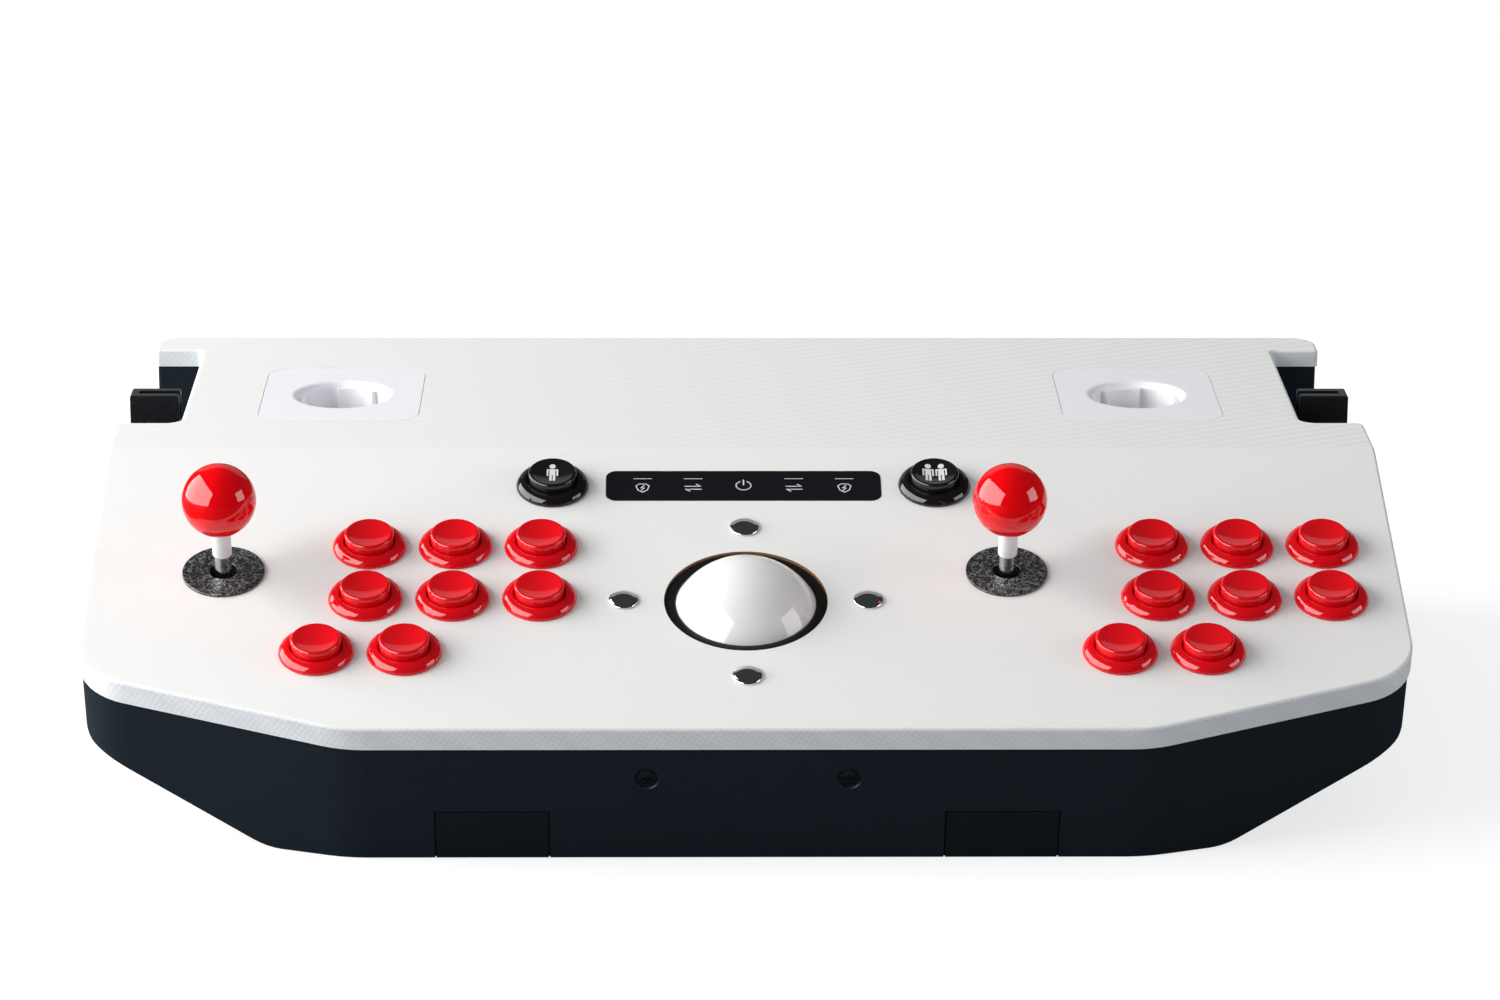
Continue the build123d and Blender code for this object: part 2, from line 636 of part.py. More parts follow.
def make_all():
    """Builds and writes every node."""
    os.makedirs("parts", exist_ok=True)
    save("deck_panel", make_panel())
    save("case_shell", make_housing())
    save("bottom_cover", make_bottom_cover())
    save("controller_board", make_controller())
    for name, side in (("left", -1), ("right", 1)):
        save(f"front_cover_{name}", make_front_cover(side))
        save(f"side_bracket_{name}", make_bracket(side))
        holder = REAR * Pos(CUP[0], CUP[1], 0) * make_holder()
        save(f"holder_{name}", holder if side > 0 else mirrored(holder))

    half, strip_front, strip_back = STRIP
    strip = Pos(0, 0, -1) * extrude(outline(strip_corners(half, strip_front, strip_back, 5.0)), 1.2)
    save("touch_strip", DECK * strip)
    touch = block((-59.7, 59.7), (strip_front + 4.3, strip_back - 4.3), (-2.6, -1.0))
    save("touch_board", DECK * touch)

    screw = make_screw()
    screws = [Pos(x, y, 1.2) * Rot(180, 0, 0) * screw for x, y in cover_screws()]
    for side in (-1, 1):
        screws.append(DECK * front_screw_place(side) * Pos(0, 0, -FRONT_RECESS[1]) * screw)
        for w in bracket_screw_ws():
            seat = Pos(side * (NOTCH_X - REVEAL - WALL), w, -22.0)
            screws.append(REAR * seat * Rot(0, -90 * side, 0) * screw)
    for _, x, y in sticks():
        for dx, dy in stick_screws():
            screws.append(placed(Pos(dx, dy, -FRONT_THICK - 2) * Rot(180, 0, 0) * screw, x, y))
    save("pan_head_screws", *screws)

    bezel, nut, switch, spring = make_bezel(), make_nut(), make_button_switch(), make_button_spring()
    plunger = make_plunger()
    everywhere = play_buttons() + start_buttons()
    save("button_bezels", *[placed(bezel, x, y) for _, x, y in play_buttons()])
    save("start_bezels", *[placed(bezel, x, y) for _, x, y in start_buttons()])
    save("button_nuts", *[placed(nut, x, y) for _, x, y in everywhere])
    save("button_switches", *[placed(switch, x, y) for _, x, y in everywhere])
    save("button_springs", *[placed(spring, x, y) for _, x, y in everywhere])
    for node, x, y in everywhere:
        save(node, placed(plunger, x, y))

    save("dust_washers", *[placed(make_dust_washer(), x, y) for _, x, y in sticks()])
    save("joystick_plates", *[placed(make_stick_plate(), x, y) for _, x, y in sticks()])
    save("joystick_housings", *[placed(make_stick_housing(), x, y) for _, x, y in sticks()])
    save("joystick_switches", *[placed(s, x, y) for _, x, y in sticks() for s in make_stick_switches()])
    for side, x, y in sticks():
        save(f"joystick_ball_{side}", placed(make_ball_top(), x, y))
        save(f"joystick_shaft_{side}", placed(make_shaft(), x, y))
        save(f"joystick_sleeve_{side}", placed(make_shaft_cover(), x, y))
        save(f"joystick_pivot_{side}", placed(make_pivot(), x, y))
        save(f"joystick_actuator_{side}", placed(make_actuator(), x, y))
        save(f"joystick_spring_{side}", placed(make_stick_spring(), x, y))

    save("trackball_collar", DECK * make_collar())
    save("trackball_housing", DECK * make_trackball_housing())
    save("trackball", DECK * Pos(0, 0, TRACKBALL_Z) * Sphere(TRACKBALL_R))
    save("trackball_roller_back_and_forth", DECK * make_roller(270))
    save("trackball_roller_sideways", DECK * make_roller(180))
    save("trackball_idler", DECK * make_idler(45))
    save("trackball_sensor_boards", DECK * make_sensor_board(180), DECK * make_sensor_board(270))
    save("trackball_bolts", *[placed(make_trackball_bolt(), x, y) for x, y in trackball_bolts()])


make_all()
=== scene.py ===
"""Looks of the arcade control panel: finishes for the CAD pieces, fine turned pieces and springs in place of
the coarse ones, and printed icons. Sizes of the pieces are in millimetres, about their own place on the control
surface. Everything else is in metres, unless its name says otherwise."""

import bpy
import bmesh
import json
from math import acos, atan2, cos, hypot, pi, radians, sin, tan
from mathutils import Matrix, Vector


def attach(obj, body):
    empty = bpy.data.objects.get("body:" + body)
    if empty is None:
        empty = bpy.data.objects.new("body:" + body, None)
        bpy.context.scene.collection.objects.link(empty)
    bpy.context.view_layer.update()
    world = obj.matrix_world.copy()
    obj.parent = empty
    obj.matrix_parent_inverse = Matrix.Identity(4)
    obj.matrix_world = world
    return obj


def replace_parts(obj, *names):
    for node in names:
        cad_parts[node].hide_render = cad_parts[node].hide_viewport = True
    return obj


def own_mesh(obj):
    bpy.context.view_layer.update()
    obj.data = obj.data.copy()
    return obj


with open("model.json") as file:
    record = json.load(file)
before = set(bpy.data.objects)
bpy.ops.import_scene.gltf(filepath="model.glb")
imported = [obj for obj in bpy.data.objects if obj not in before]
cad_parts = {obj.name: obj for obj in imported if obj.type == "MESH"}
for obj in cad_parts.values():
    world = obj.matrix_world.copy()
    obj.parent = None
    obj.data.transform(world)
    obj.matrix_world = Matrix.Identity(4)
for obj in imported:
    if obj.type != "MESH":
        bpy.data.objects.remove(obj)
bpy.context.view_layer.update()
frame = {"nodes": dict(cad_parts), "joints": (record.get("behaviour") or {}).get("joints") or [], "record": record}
NODES = frame["nodes"]
JOINTS = {joint["name"]: joint for joint in frame["joints"]}
MM = 0.001

# ---- the control surface's own frame --------------------------------------------------------------------
NORMAL = -Vector(JOINTS["button_p1_1_press"]["axis"]).normalized()
UPHILL = NORMAL.cross(Vector((1, 0, 0))).normalized()
BALL_CENTRE = Vector(JOINTS["trackball_roll"]["pos_m"])
BALL_SINK_MM = 20.6
ORIGIN = BALL_CENTRE + NORMAL * BALL_SINK_MM * MM
DECK = Matrix.Translation(ORIGIN) @ Matrix(((1, 0, 0), UPHILL, NORMAL)).transposed().to_4x4()
# The control surface meets the level rear surface at FOLD_Y, and the rear surface's stripes fade in behind it.
# Their strength, faintest at the left end of their reach and strongest at the right, is painted glare.
FOLD_Y, FOLD_FADE, PAINTED_GLARE_REACH = 0.002, 0.006, 0.3
CORE_R = 0.0386  # the board's core shows within this distance of the trackball's axis


def deck_box(node):
    """Lowest and highest corner of a node in the control surface's frame, in millimetres."""
    inverse = DECK.inverted()
    points = [inverse @ vertex.co / MM for vertex in NODES[node].data.vertices]
    return [[pick(point[axis] for point in points) for axis in range(3)] for pick in (min, max)]


def deck_middle(node):
    """Middle of a node on the control surface, (x, y) in millimetres."""
    low, high = deck_box(node)
    return (low[0] + high[0]) / 2, (low[1] + high[1]) / 2


# ---- meshes ---------------------------------------------------------------------------------------------
SMOOTH_DEGREES = 35  # creases sharper than this stay sharp


def solid_piece(name, bm, material, body):
    """Piece of a closed mesh that is already in the row frame, with its finish and its body."""
    bmesh.ops.recalc_face_normals(bm, faces=bm.faces)
    mesh = bpy.data.meshes.new(name)
    bm.to_mesh(mesh)
    bm.free()
    mesh.shade_smooth()
    mesh.set_sharp_from_angle(angle=radians(SMOOTH_DEGREES))
    mesh.materials.append(material)
    piece = bpy.data.objects.new(name, mesh)
    bpy.context.scene.collection.objects.link(piece)
    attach(piece, body)
    return piece


def arc(start, middle, end, steps=8):
    """Points along the arc through three points, without the first one."""
    (ax, ay), (bx, by), (cx, cy) = start, middle, end
    d = 2 * (ax * (by - cy) + bx * (cy - ay) + cx * (ay - by))
    a2, b2, c2 = ax * ax + ay * ay, bx * bx + by * by, cx * cx + cy * cy
    ox = (a2 * (by - cy) + b2 * (cy - ay) + c2 * (ay - by)) / d
    oy = (a2 * (cx - bx) + b2 * (ax - cx) + c2 * (bx - ax)) / d
    radius = hypot(ax - ox, ay - oy)
    first, mid, last = (atan2(y - oy, x - ox) for x, y in (start, middle, end))
    sweep = (last - first) % (2 * pi)
    if (mid - first) % (2 * pi) > sweep:
        sweep -= 2 * pi
    angles = [first + sweep * step / steps for step in range(1, steps + 1)]
    return [(ox + radius * cos(a), oy + radius * sin(a)) for a in angles]


def rounded(corners, steps=5):
    """Open line through (x, y, radius) corners, with its corners rounded."""
    points = [corners[0][:2]]
    for before, here, after in zip(corners, corners[1:], corners[2:]):
        corner, radius = Vector(here[:2]), here[2]
        a = (Vector(before[:2]) - corner).normalized()
        b = (Vector(after[:2]) - corner).normalized()
        if radius <= 0:
            points.append(tuple(corner))
            continue
        half = acos(max(-1.0, min(1.0, a.dot(b)))) / 2
        reach = radius / tan(half)
        centre = corner + (a + b).normalized() * (radius / sin(half))
        middle = centre + (corner - centre).normalized() * radius
        start, end = corner + a * reach, corner + b * reach
        points.append(tuple(start))
        points += arc(tuple(start), tuple(middle), tuple(end), steps)
    points.append(corners[-1][:2])
    return points


def add_lathe(bm, profile, place, steps=96):
    """Adds a solid of revolution; the profile is (radius, height) in millimetres about the place's Z axis."""
    rings = []
    for radius, height in profile:
        if radius < 1e-6:
            rings.append([bm.verts.new(place @ Vector((0, 0, height * MM)))])
            continue
        turn = [2 * pi * step / steps for step in range(steps)]
        ring = [Vector((radius * cos(a) * MM, radius * sin(a) * MM, height * MM)) for a in turn]
        rings.append([bm.verts.new(place @ point) for point in ring])
    # The last ring closes onto the first.
    for low, high in zip(rings, rings[1:] + rings[:1]):
        for step in range(steps):
            after = (step + 1) % steps
            corners = [low[step % len(low)], low[after % len(low)]]
            corners += [high[after % len(high)], high[step % len(high)]]
            corners = list(dict.fromkeys(corners))
            if len(corners) > 2:
                bm.faces.new(corners)


def lathe(name, profile, places, material, body, replaces, steps=96):
    """One piece made of a turned shape at one or more places."""
    bm = bmesh.new()
    for place in places:
        add_lathe(bm, profile, place, steps)
    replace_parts(solid_piece(name, bm, material, body), *replaces)


def on_deck(x_mm, y_mm, z_mm=0.0):
    """Place on the control surface, with Z along its normal."""
    return DECK @ Matrix.Translation(Vector((x_mm, y_mm, z_mm)) * MM)


# ---- materials ------------------------------------------------------------------------------------------
class Nodes:
    """Short calls for building one material's node tree."""

    def __init__(self, name):
        self.material = bpy.data.materials.new(name)
        self.material.use_nodes = True
        self.tree = self.material.node_tree
        self.shader = self.tree.nodes["Principled BSDF"]

    def set(self, **values):
        """Sets sockets of the shader by name, with _ for a space."""
        for name, value in values.items():
            self.shader.inputs[name.replace("_", " ")].default_value = value
        return self

    def node(self, kind, settings=(), **inputs):
        """Adds a node; inputs are values or output sockets, by name, or by number as i0, i1."""
        made = self.tree.nodes.new("ShaderNode" + kind)
        for key, value in dict(settings).items():
            setattr(made, key, value)
        for key, value in inputs.items():
            socket = made.inputs[int(key[1:])] if key[0] == "i" and key[1:].isdigit() else made.inputs[key]
            if isinstance(value, bpy.types.NodeSocket):
                self.tree.links.new(value, socket)
            else:
                socket.default_value = value
        return made

    def math(self, operation, *values):
        """Result of a Math node."""
        inputs = {f"i{number}": value for number, value in enumerate(values)}
        return self.node("Math", {"operation": operation}, **inputs).outputs[0]

    def times(self, first, *others):
        """Product of several values."""
        for other in others:
            first = self.math("MULTIPLY", first, other)
        return first

    def mix(self, factor, first, second):
        """Result of a colour Mix node."""
        made = self.node("Mix", {"data_type": "RGBA"}, i0=factor, i6=first, i7=second)
        return made.outputs[2]

    def noise(self, scale, detail=3.0, roughness=0.5, vector=None):
        """Noise factor in object space, with the scale in cycles per metre."""
        inputs = {"Scale": scale, "Detail": detail, "Roughness": roughness}
        inputs["Vector"] = vector or self.place()
        return self.node("TexNoise", **inputs).outputs[0]

    def place(self):
        """Object coordinates."""
        return self.node("TexCoord").outputs["Object"]

    def ramp(self, value, low, high, start=0.0, end=1.0):
        """Runs from low to high as the value goes from start to end, and stays level beyond them."""
        ends = {"From Min": start, "From Max": end, "To Min": low, "To Max": high}
        return self.node("MapRange", Value=value, **ends).outputs[0]

    def link(self, output, socket):
        self.tree.links.new(output, self.shader.inputs[socket])
        return self

    def bump(self, height, strength, distance, under=None):
        """Bump normal from a height."""
        made = self.node("Bump", Height=height, Strength=strength, Distance=distance)
        if under is not None:
            self.tree.links.new(under, made.inputs["Normal"])
        return made.outputs[0]


def opaque(colour, share=1.0):
    """Colour with its fourth channel, darkened to a share of itself."""
    return tuple(channel * share for channel in colour) + (1.0,)


def moulded(name, colour, roughness, grain_mm, depth_mm, variation=0.12, **values):
    """Moulded plastic or paint: a fine grain in its surface and a slight unevenness in colour and gloss."""
    m = Nodes(name)
    m.set(**values)
    patches = m.noise(60.0, 4.0)
    m.link(m.mix(patches, opaque(colour, 1 - variation), opaque(colour)), "Base Color")
    wear, spread = m.noise(420.0, 5.0, 0.65), 0.05
    m.link(m.ramp(wear, roughness - spread, roughness + spread), "Roughness")
    grain = m.noise(1000.0 / grain_mm, 2.0)
    m.link(m.bump(grain, 0.5, depth_mm * MM), "Normal")
    return m.material


def wrapped_vinyl():
    """White wrap over the board: a twill weave, clearest on the edges, which are painted darker and bluer as
    shade, with broad diagonals on the rear surface whose growth to the right is painted glare. The board's brown
    core shows in the trackball's hole."""
    m = Nodes("white_twill_vinyl")
    m.set(Specular_IOR_Level=0.2)
    point = m.place()
    x, y, z = m.node("SeparateXYZ", Vector=point).outputs
    normal = m.node("SeparateXYZ", Vector=m.node("NewGeometry").outputs["Normal"]).outputs
    level = m.math("GREATER_THAN", m.math("ABSOLUTE", normal[2]), 0.6)
    edge = m.math("SUBTRACT", 1.0, level)
    sideways = m.math("GREATER_THAN", m.math("ABSOLUTE", normal[0]), 0.75)
    along = m.math("ADD", m.times(x, m.math("SUBTRACT", 1.0, sideways)), m.times(y, sideways))
    across = m.math("ADD", m.times(y, level), m.times(z, edge))

    def wave(period_mm, turn_degrees):
        """Stripes of a period, running from -1 to 1, turned by an angle."""
        per_metre, turn = 2 * pi / (period_mm * MM), radians(turn_degrees)
        run, rise = m.times(along, per_metre * cos(turn)), m.times(across, per_metre * sin(turn))
        return m.math("SINE", m.math("ADD", run, rise))

    rear = m.ramp(y, 0.0, 1.0, FOLD_Y, FOLD_Y + FOLD_FADE)
    # painted glare: the rear stripes' colour is made stronger to the right, standing in for light glancing off the
    # embossing
    painted_glare_rightwards = m.ramp(x, 0.12, 1.0, -PAINTED_GLARE_REACH, PAINTED_GLARE_REACH)
    uneven = m.noise(35.0, 3.0)
    broad = m.times(wave(7.0, 117), rear, painted_glare_rightwards, level, m.ramp(uneven, 0.6, 1.1))
    checks = m.times(wave(3.4, 12), wave(3.4, 102))
    bands = m.times(wave(15.0, 58), 0.5)
    weave = m.times(m.math("ADD", checks, bands), edge, m.ramp(uneven, 0.3, 1.0))
    fine = m.times(wave(1.7, 0), wave(1.7, 90))
    pattern = m.math("ADD", m.times(broad, 0.6), m.times(weave, 0.8))
    shade = m.ramp(pattern, 0.0, 1.0, -1.0, 1.0)
    white = m.mix(shade, (0.745, 0.747, 0.742, 1), (0.88, 0.883, 0.878, 1))
    # painted shade: the edge faces get a darker, bluer white than the top
    painted_shade_edge = m.mix(shade, (0.69, 0.715, 0.745, 1), (0.82, 0.845, 0.875, 1))
    white = m.mix(edge, white, painted_shade_edge)

    from_middle = m.node("VectorMath", {"operation": "SUBTRACT"}, i0=point, i1=tuple(ORIGIN)).outputs[0]
    upward = m.node("VectorMath", {"operation": "CROSS_PRODUCT"}, i0=from_middle, i1=tuple(NORMAL)).outputs[0]
    radius = m.node("VectorMath", {"operation": "LENGTH"}, i0=upward).outputs["Value"]
    core = m.math("LESS_THAN", radius, CORE_R)
    m.link(m.mix(core, white, (0.30, 0.15, 0.07, 1)), "Base Color")
    m.link(m.ramp(uneven, 0.5, 0.62), "Roughness")
    coarse = m.bump(pattern, 0.4, 0.0002)
    m.link(m.bump(fine, 0.3, 0.00005, coarse), "Normal")
    return m.material


def leather_grain():
    """Glossy black plastic embossed with a leather grain, with its raised creases painted paler in patches as
    sparkle highlights.
    """
    m = Nodes("black_leather_grain")
    m.set(Specular_IOR_Level=0.8)
    point = m.place()
    drift = m.node("TexNoise", Vector=point, Scale=330.0, Detail=3.0).outputs["Color"]
    bent = m.node("VectorMath", {"operation": "SCALE"}, i0=drift, Scale=0.0014).outputs[0]
    bent = m.node("VectorMath", {"operation": "ADD"}, i0=point, i1=bent).outputs[0]
    cells = m.node("TexVoronoi", {"feature": "DISTANCE_TO_EDGE"}, Vector=bent, Scale=540.0).outputs[0]
    crease = m.ramp(cells, 1.0, 0.0, 0.0, 0.22)
    patches = m.ramp(m.noise(420.0, 2.0), 0.0, 1.0, 0.42, 0.62)
    # painted highlight: a pale colour on the raised creases, in patches, stands in for glints on the grain
    painted_sparkle = m.times(crease, patches)
    m.link(m.mix(painted_sparkle, (0.008, 0.008, 0.009, 1), (0.17, 0.18, 0.19, 1)), "Base Color")
    m.link(m.ramp(cells, 0.16, 0.40), "Roughness")
    m.link(m.bump(crease, 0.7, 0.0002), "Normal")
    return m.material


def polished(name, colour, roughness=0.05, **values):
    """Glossy injection moulding: faint flow marks under a slightly wavy skin with fine handling marks."""
    m = Nodes(name)
    m.set(**values)
    flow = m.noise(70.0, 2.0)
    m.link(m.mix(flow, opaque(colour, 0.92), opaque(colour)), "Base Color")
    marks = m.noise(900.0, 6.0, 0.7)
    m.link(m.ramp(marks, roughness * 0.5, roughness * 1.6), "Roughness")
    m.link(m.bump(m.noise(160.0, 1.0), 0.1, 0.00003), "Normal")
    return m.material


def metal(name, colour, roughness, brush=False):
    """Metal with fine scratches, or turned brush lines."""
    m = Nodes(name)
    m.set(Metallic=1.0)
    place = m.place()
    if brush:
        place = m.node("Mapping", Vector=place, Scale=(1.0, 1.0, 30.0)).outputs[0]
    lines = m.noise(600.0, 6.0, 0.7, place)
    m.link(m.mix(lines, opaque(colour, 0.85), opaque(colour)), "Base Color")
    m.link(m.ramp(lines, roughness * 0.6, roughness * 1.5), "Roughness")
    m.link(m.bump(lines, 0.08, 0.00002), "Normal")
    return m.material


def circuit_green():
    """Solder-masked board with pale copper runs."""
    m = Nodes("circuit_green")
    m.set(Specular_IOR_Level=0.5)
    place = m.node("Mapping", Vector=m.place(), Scale=(1.0, 3.0, 1.0)).outputs[0]
    runs = m.node("TexVoronoi", {"distance": "CHEBYCHEV"}, Vector=place, Scale=260.0).outputs[0]
    trace = m.math("GREATER_THAN", runs, 0.42)
    m.link(m.mix(trace, (0.008, 0.09, 0.03, 1), (0.02, 0.17, 0.06, 1)), "Base Color")
    m.link(m.ramp(m.noise(300.0), 0.25, 0.4), "Roughness")
    m.link(m.bump(trace, 0.3, 0.00005), "Normal")
    return m.material


NAVY_BLACK = (0.0125, 0.0195, 0.0280)
FINISHES = {
    "board_white": wrapped_vinyl(),
    "housing_black": moulded("satin_black", NAVY_BLACK, 0.36, 0.7, 0.02, Specular_IOR_Level=0.14),
    "bracket_black": moulded("bracket_black", (0.008, 0.009, 0.011), 0.28, 0.9, 0.03, Specular_IOR_Level=0.4),
    "holder_white": moulded("soft_white", (0.89, 0.89, 0.93), 0.42, 0.5, 0.01, variation=0.03),
    "strip_black": polished("strip_black", (0.0075, 0.0085, 0.0105), 0.12, Specular_IOR_Level=0.3),
    "circuit_board": circuit_green(),
    "button_red": polished("button_red", (0.76, 0.005, 0.011), 0.06),
    "bezel_red": polished("bezel_red", (0.72, 0.004, 0.010), 0.04),
    "button_black": polished("button_black", (0.009, 0.009, 0.011), 0.06),
    "bezel_black": polished("bezel_black", (0.007, 0.007, 0.009), 0.04),
    "nut_black": moulded("nut_black", (0.02, 0.02, 0.02), 0.5, 0.6, 0.02),
    "switch_black": moulded("switch_black", (0.03, 0.03, 0.033), 0.45, 0.6, 0.02),
    "spring_steel": metal("spring_steel", (0.5, 0.5, 0.5), 0.25),
    "plate_steel": metal("plate_steel", (0.5, 0.5, 0.52), 0.32, brush=True),
    "chrome": metal("chrome", (0.74, 0.75, 0.77), 0.06),
    "sleeve_white": moulded("sleeve_white", (0.76, 0.79, 0.82), 0.28, 0.8, 0.01, variation=0.04),
    "ball_red": polished("ball_red", (0.86, 0.0008, 0.004), 0.03),
    "trackball_white": polished("trackball_white", (0.86, 0.86, 0.85), 0.05),
    "collar_black": moulded("collar_black", (0.009, 0.009, 0.010), 0.30, 0.6, 0.01, Specular_IOR_Level=0.25),
    "mechanism_black": moulded("mechanism_black", (0.02, 0.02, 0.022), 0.45, 0.7, 0.02),
    "washer_black": leather_grain(),
    "screw_black": metal("screw_black", (0.11, 0.115, 0.125), 0.25),
    "roller_steel": metal("roller_steel", (0.6, 0.6, 0.62), 0.18),
}
COVER_BLACK = moulded("cover_black", (0.0095, 0.0140, 0.0190), 0.36, 0.7, 0.02, Specular_IOR_Level=0.14)
SHAFT_STEEL = metal("shaft_steel", (0.74, 0.76, 0.79), 0.15)
PRINT_WHITE = moulded("print_white", (0.78, 0.78, 0.8), 0.4, 0.3, 0.005, variation=0.05)

SLOT_OF = {part["node"]: part["material_slot"] for part in frame["record"]["subparts"]}
for node_name, node_object in NODES.items():
    node_object.data.materials.clear()
    node_object.data.materials.append(FINISHES[SLOT_OF[node_name]])

SOFT_EDGE = 0.35
for side in ("left", "right"):
    cover = NODES[f"front_cover_{side}"]
    cover.data.materials[0] = COVER_BLACK
    soften = cover.modifiers.new("softened_edges", "BEVEL")
    soften.width = SOFT_EDGE * MM
    soften.segments = 2

# ---- buttons --------------------------------------------------------------------------------------------
PLAY = [f"button_p{player}_{number}" for player in (1, 2) for number in range(1, 9)]
START = ["start_button_p1", "start_button_p2"]
BEZEL_R, BORE_R, BARREL_R = 17.6, 12.2, 14.7
BEZEL_TOP, NECK_END = 4.5, -3.0  # the bore widens below its neck
BARREL_END, BARREL_FLOOR = -28.0, 2.0
BARREL_BORE_R, STEM_HOLE_R = 13.1, 4.2
PLUNGER_R, PLUNGER_TOP, DISH = 11.7, 9.0, 1.7
DISH_R = PLUNGER_R - 1.3
LIP_R, LIP_TOP, LIP_END = 12.8, -3.4, -6.0
SKIRT_BORE_R, CAP_UNDERSIDE = 9.9, 5.0
STEM_R, STEM_END = 3.2, BARREL_END + 4.0


def bezel_profile():
    """Rounded rim, bore and barrel, up the bore, over the rim and down the outside."""
    points = [(BORE_R, NECK_END), (BORE_R, BEZEL_TOP - 0.8)]
    points += arc(points[-1], (BORE_R + 0.25, BEZEL_TOP - 0.25), (BORE_R + 0.9, BEZEL_TOP), 6)
    points += arc(points[-1], (BEZEL_R - 1.6, BEZEL_TOP - 1.0), (BEZEL_R, 0.9), 14)
    points += arc(points[-1], (BEZEL_R - 0.08, 0.3), (BEZEL_R - 0.4, 0.0), 4)
    points += [(BARREL_R, 0.0), (BARREL_R, BARREL_END), (STEM_HOLE_R, BARREL_END)]
    floor = BARREL_END + BARREL_FLOOR
    return points + [(STEM_HOLE_R, floor), (BARREL_BORE_R, floor), (BARREL_BORE_R, NECK_END)]


def dish_height(radius):
    """Height of a plunger's dished top at a radius, in millimetres."""
    return PLUNGER_TOP - DISH + (DISH - 0.05) * (radius / DISH_R) ** 2


def plunger_profile():
    """Dished cap, skirt with its lip, and stem, from the middle of the dish outwards."""
    points = [(DISH_R * step / 12, dish_height(DISH_R * step / 12)) for step in range(13)]
    points += arc(points[-1], (PLUNGER_R - 0.42, PLUNGER_TOP - 0.28), (PLUNGER_R, PLUNGER_TOP - 1.3), 9)
    points += [(PLUNGER_R, LIP_TOP), (LIP_R, LIP_TOP), (LIP_R, LIP_END), (SKIRT_BORE_R, LIP_END)]
    points += [(SKIRT_BORE_R, CAP_UNDERSIDE), (STEM_R, CAP_UNDERSIDE)]
    return points + [(STEM_R, STEM_END), (0.0, STEM_END)]


def make_buttons():
    """Bezels on the panel, and each plunger on its own body."""
    for names, slot, node in ((PLAY, "bezel_red", "button_bezels"), (START, "bezel_black", "start_bezels")):
        places = [on_deck(*deck_middle(name)) for name in names]
        lathe(slot + "s", bezel_profile(), places, FINISHES[slot], "panel", [node])
    for name in PLAY + START:
        slot, place = SLOT_OF[name], on_deck(*deck_middle(name))
        lathe(name + "_cap", plunger_profile(), [place], FINISHES[slot], name, [name])


COIL_R, WIRE_R, COIL_TURNS = 6.5, 0.5, 5
COIL_BOTTOM, COIL_TOP = BARREL_END + BARREL_FLOOR + 0.2, CAP_UNDERSIDE - 0.2


def coil_spring(name, place, material, body):
    """Open coil of round wire about the place's Z axis, with capped ends."""
    steps, sides = 48 * COIL_TURNS, 10
    low, rise = COIL_BOTTOM + WIRE_R, COIL_TOP - COIL_BOTTOM - 2 * WIRE_R
    bm = bmesh.new()
    rings = []
    for step in range(steps + 1):
        turn = 2 * pi * COIL_TURNS * step / steps
        ring = []
        for side in range(sides):
            round_wire = 2 * pi * side / sides
            radius = COIL_R + WIRE_R * cos(round_wire)
            height = low + rise * step / steps + WIRE_R * sin(round_wire)
            point = Vector((radius * cos(turn), radius * sin(turn), height)) * MM
            ring.append(bm.verts.new(place @ point))
        rings.append(ring)
    for before, after in zip(rings, rings[1:]):
        for side in range(sides):
            beside = (side + 1) % sides
            bm.faces.new([before[side], before[beside], after[beside], after[side]])
    bm.faces.new(rings[0])
    bm.faces.new(rings[-1])
    return solid_piece(name, bm, material, body)


def make_springs():
    """Return spring of each button, on the panel, each with a mesh of its own."""
    for name in PLAY + START:
        place = on_deck(*deck_middle(name))
        spring = coil_spring(name + "_spring", place, FINISHES["spring_steel"], "panel")
        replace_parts(spring, "button_springs")
        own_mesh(spring)


# ---- printed marks --------------------------------------------------------------------------------------
def ring_shape(cx, cy, outer, inner, steps=40):
    """Flat ring as quads of (x, y) points."""
    turn = [2 * pi * step / steps for step in range(steps + 1)]
    quads = []
    for a, b in zip(turn, turn[1:]):
        corners = ((inner, a), (outer, a), (outer, b), (inner, b))
        quads.append([(cx + r * cos(t), cy + r * sin(t)) for r, t in corners])
    return quads


def stroke(points, width):
    """Flat line of a width through (x, y) points: one quad for each run, half a width longer at both ends."""
    quads = []
    for start, end in zip(points, points[1:]):
        a, b = Vector(start), Vector(end)
        side = Vector((-(b - a).y, (b - a).x)).normalized() * width / 2
        reach = (b - a).normalized() * width / 2
        corners = (a - reach - side, b + reach - side, b + reach + side, a - reach + side)
        quads.append([tuple(corner) for corner in corners])
    return quads


def box_shape(cx, cy, width, height):
    """Flat rectangle."""
    x, y = width / 2, height / 2
    return [[(cx - x, cy - y), (cx + x, cy - y), (cx + x, cy + y), (cx - x, cy + y)]]


def person(cx):
    """Standing figure, as on a start button, about 13 mm tall."""
    shape = ring_shape(cx, 5.6, 1.5, 0.0, 24)
    shape += box_shape(cx, 3.2, 4.8, 0.9) + box_shape(cx, 1.3, 2.9, 4.2)
    for side in (-1, 1):
        arm, leg = cx + side * 2.35, cx + side * 0.85
        shape += box_shape(arm, 1.0, 0.8, 4.6) + box_shape(leg, -3.4, 1.2, 5.6)
        shape += ring_shape(cx + side * 2.3, 3.2, 0.45, 0.0, 16) + ring_shape(arm, -1.3, 0.4, 0.0, 16)
    return shape


